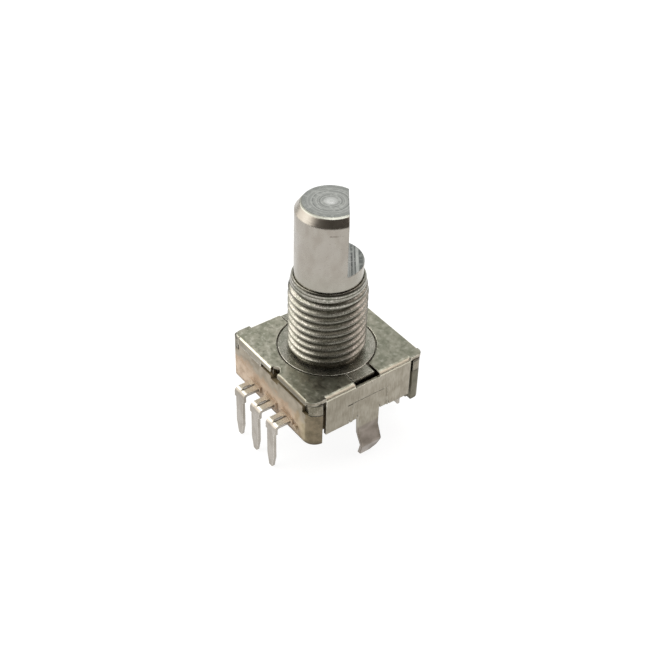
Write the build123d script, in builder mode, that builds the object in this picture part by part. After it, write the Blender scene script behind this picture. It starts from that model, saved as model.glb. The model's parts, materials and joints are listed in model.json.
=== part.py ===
from build123d import *
from build123d import SkipClean
import os
from math import cos, radians, sin

# Rotary encoder with push switch. Millimetres.
# Origin: on the shaft axis, at the plane where the panel rests. +Z runs along the shaft to its tip.
# The three encoder terminals are on the -Y side, the two switch terminals on the +Y side.

os.makedirs("parts", exist_ok=True)

# ---------------------------------------------------------------- driving dimensions
# shaft
shaft_r = 3.0
shaft_tip_z = 15.08
shaft_shoulder_z = 7.8
stem_r = 2.5
flat_from_axis = 1.5
flat_floor_z = 9.25
flat_facing = 54.0
tip_chamfer_axial = 0.8
tip_chamfer_radial = 0.6
drive_r = 2.15
drive_flat = 1.6
drive_end_z = -2.7
nose_r = 1.0
shaft_end_z = -2.76

# threaded bushing
thread_r = 3.5
thread_root_r = 3.12
thread_pitch = 0.75
thread_top_z = 7.15
lead_in_z = 6.3
bushing_top_z = 7.85
bushing_top_r = 3.14
top_ring_z = 7.2
top_ring_r = 3.3
top_shoulder_r = 3.25
top_shoulder_z = 7.65
counterbore_r = 3.05
counterbore_z = 7.2
bore_r = 2.54
collar_r = 4.37
undercut_height = 0.34
plate_top_z = -0.32
plate_bottom_z = -1.58
plate_half_x = 5.5
plate_front_y = -5.66
plate_back_y = 6.0
pocket_r = 4.45
pocket_z = -0.7
ear_reach_x = 5.42
ear_front_y = -1.08
ear_back_y = 1.17
ear_bottom_z = -0.5
ear_top_z = -0.02

# corner posts, shared by the die casting and the moulded base
post_left_x = -6.2
post_right_x = 6.05
post_front_end_y = -4.76
post_back_start_y = 5.11
post_front_r = 1.25
post_back_r = 0.6
post_left_r = 0.4

# sheet-steel frame
sheet = 0.3
frame_half_x = 5.97
frame_corner_half_x = 5.95
frame_front_corner_r = 0.9
frame_corner_r = 0.6
frame_front_y = -6.0
frame_back_y = 6.3
skirt_front_y = -4.33
skirt_back_y = 4.91
skirt_bottom_z = -4.17
bend_r = 0.5
frame_hole_r = 4.5
slot_front_y = -1.2
slot_back_y = 1.47
slot_floor_z = -0.42
press_edge_r = 0.2
press_edge_half = 5.12
crease_z = -2.0
panel_front_y = -1.42
panel_back_y = 2.4
panel_step = 0.08

# snap-in lugs and terminals
tip_z = -8.8
lug_front_y = -0.76
lug_back_y = 1.60
lug_kink_x = 6.28
terminal_pitch = 2.5
terminal_face_y = -7.8
terminal_top_z = -3.65
terminal_sheet = 0.3
head_half = 0.72
leg_half = 0.5

# moulded base
base_top_z = -1.6
base_bottom_z = -5.0
base_front_y = -5.95
base_back_y = 6.15
base_half_x = 5.55
notch_left_x = -0.12
notch_right_x = 0.95
side_wall_top_z = -0.97
wall_centre_x = -0.3
wall_length = 9.9
wall_front_y = -5.17
wall_back_y = 5.42
side_strip_x = 4.6
side_strip_z = -3.86
tab_inner_x = 4.85
cavity_r = 4.5
cavity_floor_z = -3.35
plunger_well_r = 1.7
plunger_well_z = -3.6
chamber_r = 3.0
chamber_top_z = -4.05
switch_base_top_z = -4.6
switch_base_half = 3.8

# rotor stack
wheel_top_z = -1.1
tooth_height = 0.15
wheel_r = 4.3
wheel_bottom_z = -1.95
rotor_bottom_z = -2.6
disc_sheet = 0.12
detents = 20
clearance = 0.05
push_room = 0.57


# ---------------------------------------------------------------- shaft
flat_plane = Plane(
    origin=(0, 0, flat_floor_z),
    x_dir=(cos(radians(flat_facing)), sin(radians(flat_facing)), 0),
    z_dir=(0, 0, 1),
)
tip_crown = 0.015
tip_crown_r = shaft_r - tip_chamfer_radial / 2 + tip_crown
tip_crown_z = shaft_tip_z - tip_chamfer_axial / 2 + tip_crown
ring_top_z = -0.84
ring_sheet = 0.2
ring_bottom_z = ring_top_z - ring_sheet
groove_r = 1.85
groove_play = 0.02

with BuildPart() as shaft_tip:
    # D-cut stretch with a slightly crowned lead-in
    with BuildSketch(Plane.XZ):
        with BuildLine():
            Polyline(
                (shaft_r - tip_chamfer_radial, shaft_tip_z),
                (0, shaft_tip_z),
                (0, flat_floor_z),
                (shaft_r, flat_floor_z),
                (shaft_r, shaft_tip_z - tip_chamfer_axial),
            )
            Bezier(
                (shaft_r, shaft_tip_z - tip_chamfer_axial),
                (tip_crown_r, tip_crown_z),
                (shaft_r - tip_chamfer_radial, shaft_tip_z),
            )
        make_face()
    revolve(axis=Axis.Z)
    with BuildSketch(flat_plane):
        with Locations((flat_from_axis + shaft_r / 2, 0)):
            Rectangle(shaft_r, 3 * shaft_r)
    extrude(amount=shaft_tip_z - flat_floor_z + 1, mode=Mode.SUBTRACT)

with BuildPart() as shaft:
    with BuildSketch(Plane.XZ):
        with BuildLine():
            Polyline(
                (0, shaft_end_z),
                (nose_r, shaft_end_z),
                (nose_r, drive_end_z),
                (drive_r, drive_end_z),
                (drive_r, ring_bottom_z - groove_play),
                (groove_r, ring_bottom_z - groove_play),
                (groove_r, ring_top_z + groove_play),
                (stem_r, ring_top_z + groove_play),
                (stem_r, shaft_shoulder_z),
                (shaft_r, shaft_shoulder_z),
                (shaft_r, flat_floor_z),
                (0, flat_floor_z),
                close=True,
            )
        make_face()
    revolve(axis=Axis.Z)
    # two drive flats that key the wheel and the rotor
    with BuildSketch(Plane.XY.offset(drive_end_z - 1)):
        with Locations((0, drive_flat + drive_r / 2), (0, -drive_flat - drive_r / 2)):
            Rectangle(3 * drive_r, drive_r)
    extrude(amount=ring_bottom_z - groove_play - drive_end_z + 1, mode=Mode.SUBTRACT)
    # the round wall stays two faces, one below the D cut and one beside it
    with SkipClean():
        add(shaft_tip.part, clean=False)
shaft.part.label = "shaft"
export_step(shaft.part, "parts/shaft.step")

# E clip in the shaft's groove: three inner lobes and a mouth
clip_outer_r = 3.1
clip_inner_r = groove_r + 0.45
clip_lobe_width = 0.9
clip_lobe_length = 0.5
clip_mouth = 2.2
with BuildPart() as retaining_ring:
    with BuildSketch(Plane.XY.offset(ring_bottom_z)):
        Circle(clip_outer_r)
        Circle(clip_inner_r, mode=Mode.SUBTRACT)
        with PolarLocations((groove_r + clip_inner_r) / 2 + 0.05, 3, start_angle=90):
            Rectangle(clip_lobe_length, clip_lobe_width)
        Circle(groove_r + groove_play, mode=Mode.SUBTRACT)
        with Locations((0, -clip_outer_r)):
            Rectangle(clip_mouth, clip_outer_r, mode=Mode.SUBTRACT)
    extrude(amount=ring_sheet)
retaining_ring.part.label = "retaining_ring"
export_step(retaining_ring.part, "parts/retaining_ring.step")


# ---------------------------------------------------------------- bushing
def post_outline():
    """Outline of the body with its corner posts; the front right corner is the roundest."""
    with BuildSketch(mode=Mode.PRIVATE) as outline:
        with Locations(((post_left_x + post_right_x) / 2, (base_front_y + base_back_y) / 2)):
            Rectangle(post_right_x - post_left_x, base_back_y - base_front_y)
        fillet(outline.vertices().filter_by(lambda v: v.X < 0), post_left_r)
        fillet(outline.vertices().group_by(Axis.X)[-1].sort_by(Axis.Y)[-1], post_back_r)
        fillet(outline.vertices().group_by(Axis.X)[-1].sort_by(Axis.Y)[0], post_front_r)
        with Locations((0, (post_front_end_y + post_back_start_y) / 2)):
            Rectangle(2 * base_half_x, post_back_start_y - post_front_end_y)
        for side in (-1, 1):
            with Locations((side * (base_half_x + 1), (post_front_end_y + post_back_start_y) / 2)):
                Rectangle(2, post_back_start_y - post_front_end_y, mode=Mode.SUBTRACT)
    return outline.sketch


thread_mid_r = (thread_r + thread_root_r) / 2
groove_start = Plane(origin=(thread_mid_r, 0, undercut_height), x_dir=(1, 0, 0), z_dir=(0, -1, 0))
groove_root_half = 0.09
groove_mouth_half = 0.35
groove_overshoot = 0.05

with BuildPart() as thread_groove:
    with BuildLine() as thread_path:
        Helix(
            pitch=thread_pitch,
            height=bushing_top_z - undercut_height,
            radius=thread_mid_r,
            center=(0, 0, undercut_height),
        )
    with BuildSketch(groove_start):
        with BuildLine():
            Polyline(
                (thread_root_r - thread_mid_r, -groove_root_half),
                (thread_r - thread_mid_r + groove_overshoot, -groove_mouth_half),
                (thread_r - thread_mid_r + groove_overshoot, groove_mouth_half),
                (thread_root_r - thread_mid_r, groove_root_half),
                close=True,
            )
        make_face()
    sweep(path=thread_path.line, is_frenet=True)

collar_edge_r = 0.06
notch_floor_z = -1.3
trench_width = 0.4
trench_length = 1.2
trench_centre_x = 5.2
wall_gap = 0.02
flange_room_x = 5.4
with BuildPart() as bushing:
    # barrel and collar
    with BuildSketch(Plane.XZ):
        with BuildLine():
            RadiusArc((collar_r, -collar_edge_r), (collar_r - collar_edge_r, 0), -collar_edge_r)
            Polyline(
                (collar_r - collar_edge_r, 0),
                (thread_root_r, 0),
                (thread_root_r, undercut_height),
                (thread_r, undercut_height + 0.1),
                (thread_r, thread_top_z),
                (thread_root_r + 0.04, bushing_top_z),
                (counterbore_r, bushing_top_z),
                (counterbore_r, counterbore_z),
                (bore_r, counterbore_z),
                (bore_r, ear_bottom_z),
                (collar_r, ear_bottom_z),
                (collar_r, -collar_edge_r),
            )
        make_face()
    revolve(axis=Axis.Z)
    add(thread_groove.part, mode=Mode.SUBTRACT)
    # long taper over the last turns
    with BuildSketch(Plane.XZ):
        with BuildLine():
            Polyline(
                (thread_r, lead_in_z),
                (top_ring_r + 0.02, top_ring_z),
                (top_shoulder_r, top_shoulder_z),
                (bushing_top_r, bushing_top_z + 0.01),
                (thread_r + 0.5, bushing_top_z + 0.01),
                (thread_r + 0.5, lead_in_z),
                close=True,
            )
        make_face()
    revolve(axis=Axis.Z, mode=Mode.SUBTRACT)
    # plain ring at the top, where the thread runs out
    with BuildSketch(Plane.XZ):
        with BuildLine():
            Polyline(
                (2.8, top_ring_z - 0.2),
                (top_ring_r, top_ring_z),
                (top_shoulder_r, top_shoulder_z),
                (bushing_top_r, bushing_top_z),
                (counterbore_r, bushing_top_z),
                (counterbore_r, top_ring_z + 0.1),
                close=True,
            )
        make_face()
    revolve(axis=Axis.Z)
    # ears that stand in the frame's slots
    with BuildSketch(Plane.XY.offset(ear_bottom_z)):
        with Locations((0, (ear_front_y + ear_back_y) / 2)):
            Rectangle(2 * ear_reach_x, ear_back_y - ear_front_y)
        Circle(thread_r + 0.5, mode=Mode.SUBTRACT)
    extrude(amount=ear_top_z - ear_bottom_z)
    # base plate with corner posts
    with BuildSketch(Plane.XY.offset(plate_bottom_z)):
        add(post_outline())
        with Locations((0, (plate_front_y + base_front_y) / 2 - 0.5)):
            Rectangle(2 * flange_room_x, plate_front_y - base_front_y + 1, mode=Mode.SUBTRACT)
        with Locations((0, (plate_back_y + base_back_y) / 2 + 0.5)):
            Rectangle(2 * flange_room_x, base_back_y - plate_back_y + 1, mode=Mode.SUBTRACT)
        for side in (-1, 1):
            with Locations((side * (plate_half_x + 0.5), (post_front_end_y + post_back_start_y) / 2)):
                Rectangle(1, post_back_start_y - post_front_end_y, mode=Mode.SUBTRACT)
    extrude(amount=plate_top_z - plate_bottom_z)
    # deep gaps behind and outside the ears
    with BuildSketch(Plane.XY.offset(plate_bottom_z - 1)):
        for side in (-1, 1):
            with Locations((side * trench_centre_x, ear_back_y + trench_width / 2)):
                Rectangle(trench_length, trench_width)
            with Locations((side * (ear_reach_x + 0.3), (slot_front_y + slot_back_y) / 2)):
                Rectangle(0.6, slot_back_y - slot_front_y + 0.2)
    extrude(amount=plate_top_z - plate_bottom_z + 1.1, mode=Mode.SUBTRACT)
    # steps for the raised front and back walls of the base
    with BuildSketch(Plane.XY.offset(plate_bottom_z - 0.5)):
        with Locations((wall_centre_x, wall_front_y - 0.5), (wall_centre_x, wall_back_y + 0.5)):
            Rectangle(wall_length + 2 * clearance, 1 + 2 * wall_gap)
    extrude(amount=side_wall_top_z + wall_gap - plate_bottom_z + 0.5, mode=Mode.SUBTRACT)
    # notch in the front edge
    with BuildSketch(Plane.XY.offset(notch_floor_z)):
        with Locations(((notch_left_x + notch_right_x) / 2, plate_front_y)):
            Rectangle(notch_right_x - notch_left_x, 0.9)
    extrude(amount=2, mode=Mode.SUBTRACT)
    # pocket for the detent spring and the wheel
    with BuildSketch(Plane.XY.offset(plate_bottom_z - 1)):
        Circle(pocket_r)
    extrude(amount=pocket_z - plate_bottom_z + 1, mode=Mode.SUBTRACT)
    with BuildSketch(Plane.XY.offset(pocket_z - 1)):
        Circle(bore_r)
    extrude(amount=3, mode=Mode.SUBTRACT)
bushing.part.label = "bushing"
export_step(bushing.part, "parts/bushing.step")

# thin washer between the clip and the pocket's ceiling
washer_r = 3.15
washer_play = 0.03
seat_gap = 0.01
with BuildPart() as thrust_washer:
    with BuildSketch(Plane.XY.offset(ring_top_z + washer_play)):
        Circle(washer_r)
        Circle(stem_r + clearance, mode=Mode.SUBTRACT)
    extrude(amount=pocket_z - seat_gap - ring_top_z - washer_play)
thrust_washer.part.label = "thrust_washer"
export_step(thrust_washer.part, "parts/thrust_washer.step")

# ---------------------------------------------------------------- frame cover
lug_sheet_x = frame_half_x - panel_step - sheet / 2
lug_top_z = skirt_bottom_z + 0.2
lug_straight_end_z = -6.1
lug_kink_z = -7.45
lug_bend_r = 0.35
with BuildPart() as lug:
    with BuildSketch(Plane.XZ.offset(-lug_front_y)):
        with BuildLine():
            FilletPolyline(
                (lug_sheet_x, lug_top_z),
                (lug_sheet_x, lug_straight_end_z),
                (lug_kink_x, lug_kink_z),
                (lug_sheet_x + 0.1, tip_z),
                radius=lug_bend_r,
            )
        trace(line_width=sheet)
    extrude(amount=lug_front_y - lug_back_y)
    # tapered, slightly skewed tip
    with BuildSketch(Plane.YZ.offset(lug_sheet_x - 1)):
        with BuildLine():
            Polyline(
                (lug_front_y, lug_top_z),
                (lug_front_y + 0.12, -6.5),
                (lug_front_y + 0.3, tip_z + 0.15),
                (lug_front_y + 0.45, tip_z),
                (lug_back_y - 0.9, tip_z),
                (lug_back_y - 0.25, tip_z + 0.4),
                (lug_back_y, tip_z + 1.1),
                (lug_back_y, lug_top_z),
                close=True,
            )
        make_face()
    extrude(amount=2, mode=Mode.INTERSECT)

# flanges folded down over the front edge: (left end, right end, bottom)
front_flanges = ((-5.3, -1.6, -0.92), (-1.6, notch_left_x, -0.5), (notch_right_x, 5.2, -0.5))
# tabs folded under the base: (front end, back end)
folded_tabs = ((-1.70, -0.85), (1.70, 2.55))
slit = 0.1
crease_end_y = 2.05
with BuildPart() as frame_cover:
    # folded channel: the middle of the top sheet and both skirts
    with BuildSketch(Plane.XZ.offset(-skirt_front_y)) as channel:
        with Locations((0, skirt_bottom_z / 2)):
            Rectangle(2 * frame_half_x, -skirt_bottom_z)
        fillet(channel.vertices().group_by(Axis.Y)[-1], bend_r)
        with BuildLine():
            FilletPolyline(
                (-frame_half_x + sheet, skirt_bottom_z),
                (-frame_half_x + sheet, -sheet),
                (frame_half_x - sheet, -sheet),
                (frame_half_x - sheet, skirt_bottom_z),
                radius=bend_r - sheet,
            )
            Line((frame_half_x - sheet, skirt_bottom_z), (-frame_half_x + sheet, skirt_bottom_z))
        make_face(mode=Mode.SUBTRACT)
    extrude(amount=skirt_front_y - skirt_back_y)
    # front and back ends of the top sheet
    with BuildSketch(Plane.XY.offset(-sheet)) as top_sheet:
        with Locations((0, (frame_front_y + frame_back_y) / 2)):
            Rectangle(2 * frame_corner_half_x, frame_back_y - frame_front_y)
        fillet(top_sheet.vertices().group_by(Axis.X)[0], frame_corner_r)
        fillet(top_sheet.vertices().group_by(Axis.X)[-1].sort_by(Axis.Y)[-1], frame_corner_r)
        fillet(top_sheet.vertices().group_by(Axis.X)[-1].sort_by(Axis.Y)[0], frame_front_corner_r)
        with Locations((0, (skirt_front_y + skirt_back_y) / 2)):
            Rectangle(3 * frame_half_x, skirt_back_y - skirt_front_y, mode=Mode.SUBTRACT)
    extrude(amount=sheet)
    for left_x, right_x, bottom_z in front_flanges:
        with BuildSketch(Plane.XY):
            with Locations(((left_x + right_x) / 2, frame_front_y + sheet / 2)):
                Rectangle(right_x - left_x, sheet)
        extrude(amount=bottom_z)
    # rounded press edge along the front and the back
    for edge_y, inward in ((frame_front_y, 1), (frame_back_y, -1)):
        with BuildSketch(Plane.YZ.offset(-press_edge_half)):
            with BuildLine():
                Line((edge_y, -press_edge_r), (edge_y, 0))
                Line((edge_y, 0), (edge_y + inward * press_edge_r, 0))
                RadiusArc(
                    (edge_y + inward * press_edge_r, 0),
                    (edge_y, -press_edge_r),
                    -inward * press_edge_r,
                )
            make_face()
        extrude(amount=2 * press_edge_half, mode=Mode.SUBTRACT)
    # hole for the collar, slots for the ears, notch in the front edge
    with BuildSketch(Plane.XY.offset(-1)):
        Circle(frame_hole_r)
    extrude(amount=2, mode=Mode.SUBTRACT)
    with BuildSketch(Plane.XY.offset(slot_floor_z)):
        with Locations((0, (slot_front_y + slot_back_y) / 2)):
            Rectangle(3 * frame_half_x, slot_back_y - slot_front_y)
    extrude(amount=1, mode=Mode.SUBTRACT)
    with BuildSketch(Plane.XY.offset(-2)):
        with BuildLine():
            Polyline(
                (notch_left_x, frame_front_y - 0.5),
                (notch_left_x, frame_front_y + 0.35),
                (0.35, frame_front_y + 0.72),
                (notch_right_x, frame_front_y + 0.3),
                (notch_right_x, frame_front_y - 0.5),
                close=True,
            )
        make_face()
    extrude(amount=3, mode=Mode.SUBTRACT)
    for tab_front_y, tab_back_y in folded_tabs:
        # slits beside the tab
        with BuildSketch(Plane.XY.offset(skirt_bottom_z - 1)):
            with Locations((0, tab_front_y - slit / 2), (0, tab_back_y + slit / 2)):
                Rectangle(3 * frame_half_x, slit)
        extrude(amount=side_strip_z - skirt_bottom_z + 1.05, mode=Mode.SUBTRACT)
        # the tab itself, folded inwards
        with BuildSketch(Plane.XY.offset(skirt_bottom_z)):
            with Locations((0, (tab_front_y + tab_back_y) / 2)):
                Rectangle(2 * (frame_half_x - 0.02), tab_back_y - tab_front_y)
                Rectangle(2 * tab_inner_x, tab_back_y - tab_front_y, mode=Mode.SUBTRACT)
        extrude(amount=sheet)
    # panel pressed in below the crease
    for side in (-1, 1):
        with BuildSketch(Plane.YZ.offset(side * (frame_half_x - panel_step))):
            with Locations(((panel_front_y + panel_back_y) / 2, crease_z - 1.5)):
                Rectangle(panel_back_y - panel_front_y, 3)
        extrude(amount=side * 0.5, mode=Mode.SUBTRACT)
        with BuildSketch(Plane.YZ.offset(side * (frame_half_x - sheet - panel_step))):
            with Locations(((panel_front_y + panel_back_y) / 2, (crease_z + side_strip_z) / 2)):
                Rectangle(panel_back_y - panel_front_y, crease_z - side_strip_z)
        extrude(amount=side * 0.15)
        with BuildSketch(Plane.YZ.offset(side * (frame_half_x - 0.2))):
            with Locations(((panel_front_y + crease_end_y) / 2, crease_z - 0.05)):
                Rectangle(crease_end_y - panel_front_y, 0.12)
        extrude(amount=side * 0.5, mode=Mode.SUBTRACT)
    add(lug.part)
    add(lug.part.mirror(Plane.YZ))
frame_cover.part.label = "frame_cover"
export_step(frame_cover.part, "parts/frame_cover.step")


# ---------------------------------------------------------------- terminals and wipers
terminal_bend_r = 0.3
leg_top_z = terminal_top_z - 0.6
leg_taper = 1.3
leg_tip_half = 0.22
head_slit_length = 0.85
head_slit_width = 0.22
strip_half = 0.46
strip_inner_length = 4.2
strip_middle_y = base_front_y + 0.1 + strip_inner_length / 2


def make_terminal(x, inner_y):
    """One bent terminal: strip through the base wall, wide head, bend, tapered leg."""
    middle = terminal_sheet / 2
    with BuildPart() as terminal:
        with BuildSketch(Plane.YZ.offset(x - head_half)):
            with BuildLine():
                FilletPolyline(
                    (inner_y, terminal_top_z - middle),
                    (terminal_face_y + middle, terminal_top_z - middle),
                    (terminal_face_y + middle, terminal_top_z - 0.95),
                    radius=terminal_bend_r,
                )
            trace(line_width=terminal_sheet)
        extrude(amount=2 * head_half)
        with BuildSketch(Plane.XZ.offset(-terminal_face_y)):
            with Locations((x, 0)):
                with BuildLine():
                    Polyline(
                        (x - leg_half, leg_top_z),
                        (x - leg_half, tip_z + leg_taper),
                        (x - leg_tip_half, tip_z),
                        (x + leg_tip_half, tip_z),
                        (x + leg_half, tip_z + leg_taper),
                        (x + leg_half, leg_top_z),
                        close=True,
                    )
                make_face()
        extrude(amount=-terminal_sheet)
        # slit beside the bend, and a narrower strip inside the wall
        with BuildSketch(Plane.XY.offset(terminal_top_z - 1)):
            with Locations((x - 0.12, terminal_face_y + 0.95)):
                SlotOverall(head_slit_length, head_slit_width, rotation=90)
        extrude(amount=2, mode=Mode.SUBTRACT)
        with BuildSketch(Plane.XY.offset(terminal_top_z - 1)):
            for side in (-1, 1):
                with Locations((x + side * (strip_half + head_half / 2), strip_middle_y)):
                    Rectangle(head_half, strip_inner_length)
        extrude(amount=2, mode=Mode.SUBTRACT)
    return terminal


wiper_sheet = 0.1
wiper_width = 0.8
wiper_pad_length = 0.55
wiper_bend_r = 0.12
finger_gap = 0.16


def make_wiper(x, root_y, tip_y):
    """One leaf brush: a pad on the terminal's inner end and two sprung fingers."""
    pad_z = terminal_top_z + wiper_sheet / 2
    top_z = rotor_bottom_z - disc_sheet - 0.1
    with BuildPart() as wiper:
        with BuildSketch(Plane.YZ.offset(x - wiper_width / 2)):
            with BuildLine():
                FilletPolyline(
                    (root_y, pad_z),
                    (root_y + wiper_pad_length, pad_z),
                    (tip_y - 0.2, top_z),
                    (tip_y + 0.1, top_z - 0.2),
                    radius=wiper_bend_r,
                )
            trace(line_width=wiper_sheet)
        extrude(amount=wiper_width)
        with BuildSketch(Plane.XY.offset(terminal_top_z - 1)):
            with Locations((x, (root_y + tip_y) / 2 + wiper_pad_length + 0.1)):
                Rectangle(finger_gap, tip_y - root_y)
        extrude(amount=2, mode=Mode.SUBTRACT)
    return wiper


terminal_a = make_terminal(-terminal_pitch, -2.7)
terminal_a.part.label = "terminal_a"
export_step(terminal_a.part, "parts/terminal_a.step")

terminal_c = make_terminal(0, -3.3)
terminal_c.part.label = "terminal_c"
export_step(terminal_c.part, "parts/terminal_c.step")

terminal_b = make_terminal(terminal_pitch, -2.7)
terminal_b.part.label = "terminal_b"
export_step(terminal_b.part, "parts/terminal_b.step")

wiper_a = make_wiper(-terminal_pitch, -3.55, -1.9)
wiper_a.part.label = "wiper_a"
export_step(wiper_a.part, "parts/wiper_a.step")

wiper_c = make_wiper(0, -4.1, -2.5)
wiper_c.part.label = "wiper_c"
export_step(wiper_c.part, "parts/wiper_c.step")

wiper_b = make_wiper(terminal_pitch, -3.55, -1.9)
wiper_b.part.label = "wiper_b"
export_step(wiper_b.part, "parts/wiper_b.step")

# ---------------------------------------------------------------- push switch
ring_contact_inner_r = 2.1
ring_contact_outer_r = 2.65
ring_contact_z = -4.72
centre_strip_z = -4.78
contact_sheet = 0.12
rear_face_y = 6.62
switch_leg_sheet = 0.25
switch_leg_bend_r = 0.16
switch_tip_z = tip_z + 0.3
switch_taper = 0.8
switch_terminal_x = 2.5
contact_strip_width = 0.8
centre_pad_r = 0.6
centre_contact_r = 0.45
centre_contact_height = 0.27
ring_strip_start_y = 2.2
strip_end_y = base_back_y - 0.5


def make_switch_leg(x):
    """Bent leg of a switch terminal, outside the base."""
    middle = switch_leg_sheet / 2
    with BuildPart() as leg:
        with BuildSketch(Plane.YZ.offset(x - leg_half)):
            with BuildLine():
                FilletPolyline(
                    (base_back_y - 0.9, centre_strip_z - contact_sheet / 2),
                    (rear_face_y - middle, centre_strip_z - contact_sheet / 2),
                    (rear_face_y - middle, switch_tip_z),
                    radius=switch_leg_bend_r,
                )
            trace(line_width=switch_leg_sheet)
        extrude(amount=2 * leg_half)
        with BuildSketch(Plane.XZ.offset(-rear_face_y - 1)):
            with BuildLine():
                Polyline(
                    (x - leg_half - 1, tip_z - 1),
                    (x - leg_half - 1, switch_tip_z + switch_taper),
                    (x - leg_half, switch_tip_z + switch_taper),
                    (x - leg_tip_half, switch_tip_z),
                    (x - leg_tip_half, tip_z - 1),
                    close=True,
                )
                Polyline(
                    (x + leg_half + 1, tip_z - 1),
                    (x + leg_half + 1, switch_tip_z + switch_taper),
                    (x + leg_half, switch_tip_z + switch_taper),
                    (x + leg_tip_half, switch_tip_z),
                    (x + leg_tip_half, tip_z - 1),
                    close=True,
                )
            make_face()
        extrude(amount=2, mode=Mode.SUBTRACT)
    return leg


with BuildPart() as switch_terminal_e:
    # raised centre contact, strip under the floor, leg at the back
    with BuildSketch(Plane.XY.offset(centre_strip_z - contact_sheet)):
        with BuildLine():
            FilletPolyline((0, 0), (switch_terminal_x, 3.0), (switch_terminal_x, strip_end_y), radius=0.5)
        trace(line_width=contact_strip_width)
        Circle(centre_pad_r)
    extrude(amount=contact_sheet)
    with BuildSketch(Plane.XY.offset(centre_strip_z - contact_sheet)):
        Circle(centre_contact_r)
    extrude(amount=centre_contact_height)
    add(make_switch_leg(switch_terminal_x).part)
switch_terminal_e.part.label = "switch_terminal_e"
export_step(switch_terminal_e.part, "parts/switch_terminal_e.step")

with BuildPart() as switch_terminal_d:
    # open contact ring under the dome's rim, leg at the back
    with BuildSketch(Plane.XY.offset(ring_contact_z)):
        Circle(ring_contact_outer_r)
        Circle(ring_contact_inner_r, mode=Mode.SUBTRACT)
        with BuildLine():
            Polyline((0, 0), (0.4, 4), (4, 4), (4, 0.4), close=True)
        make_face(mode=Mode.SUBTRACT)
    extrude(amount=contact_sheet)
    with BuildSketch(Plane.XY.offset(ring_contact_z)):
        with Locations((-switch_terminal_x + 0.4, 1.9)):
            Rectangle(contact_strip_width, 1.5)
    extrude(amount=contact_sheet)
    with BuildSketch(Plane.XY.offset(centre_strip_z - contact_sheet)):
        with Locations((-switch_terminal_x + 0.1, (ring_strip_start_y + strip_end_y) / 2)):
            Rectangle(contact_strip_width, strip_end_y - ring_strip_start_y)
    extrude(amount=ring_contact_z + 0.02 - centre_strip_z + contact_sheet)
    add(make_switch_leg(-switch_terminal_x).part)
switch_terminal_d.part.label = "switch_terminal_d"
export_step(switch_terminal_d.part, "parts/switch_terminal_d.step")

with BuildPart() as switch_base:
    with BuildSketch(Plane.XY.offset(base_bottom_z + 0.02)):
        with Locations((0, (base_back_y - 0.1 - switch_base_half) / 2)):
            RectangleRounded(2 * switch_base_half, base_back_y - 0.1 + switch_base_half, 0.4)
    extrude(amount=switch_base_top_z - base_bottom_z - 0.02)
    add(switch_terminal_e.part, mode=Mode.SUBTRACT)
    add(switch_terminal_d.part, mode=Mode.SUBTRACT)
switch_base.part.label = "switch_base"
export_step(switch_base.part, "parts/switch_base.step")

# domed metal snap disc: a thin spherical cap on the ring contact
dome_rim_r = 2.4
dome_height = 0.5
dome_sheet = 0.06
dome_sphere_r = (dome_rim_r**2 + dome_height**2) / (2 * dome_height)
dome_centre_z = switch_base_top_z + dome_height - dome_sphere_r
with BuildPart() as snap_dome:
    with BuildSketch(Plane.XY.offset(switch_base_top_z)):
        Circle(dome_rim_r)
    extrude(amount=dome_height)
    with Locations((0, 0, dome_centre_z)):
        Sphere(dome_sphere_r, mode=Mode.INTERSECT)
        Sphere(dome_sphere_r - dome_sheet, mode=Mode.SUBTRACT)
snap_dome.part.label = "snap_dome"
export_step(snap_dome.part, "parts/snap_dome.step")

# moulded pin that carries the push from the shaft to the dome
plunger_top_z = shaft_end_z - 0.02
plunger_head_r = 1.5
plunger_head_height = 0.3
plunger_r = 1.15
with BuildPart() as switch_plunger:
    with BuildSketch(Plane.XY.offset(plunger_top_z)):
        Circle(plunger_head_r)
    extrude(amount=-plunger_head_height)
    with BuildSketch(Plane.XY.offset(plunger_top_z - plunger_head_height)):
        Circle(plunger_r)
    extrude(amount=chamber_top_z - 0.03 - plunger_top_z + plunger_head_height)
switch_plunger.part.label = "switch_plunger"
export_step(switch_plunger.part, "parts/switch_plunger.step")

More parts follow.
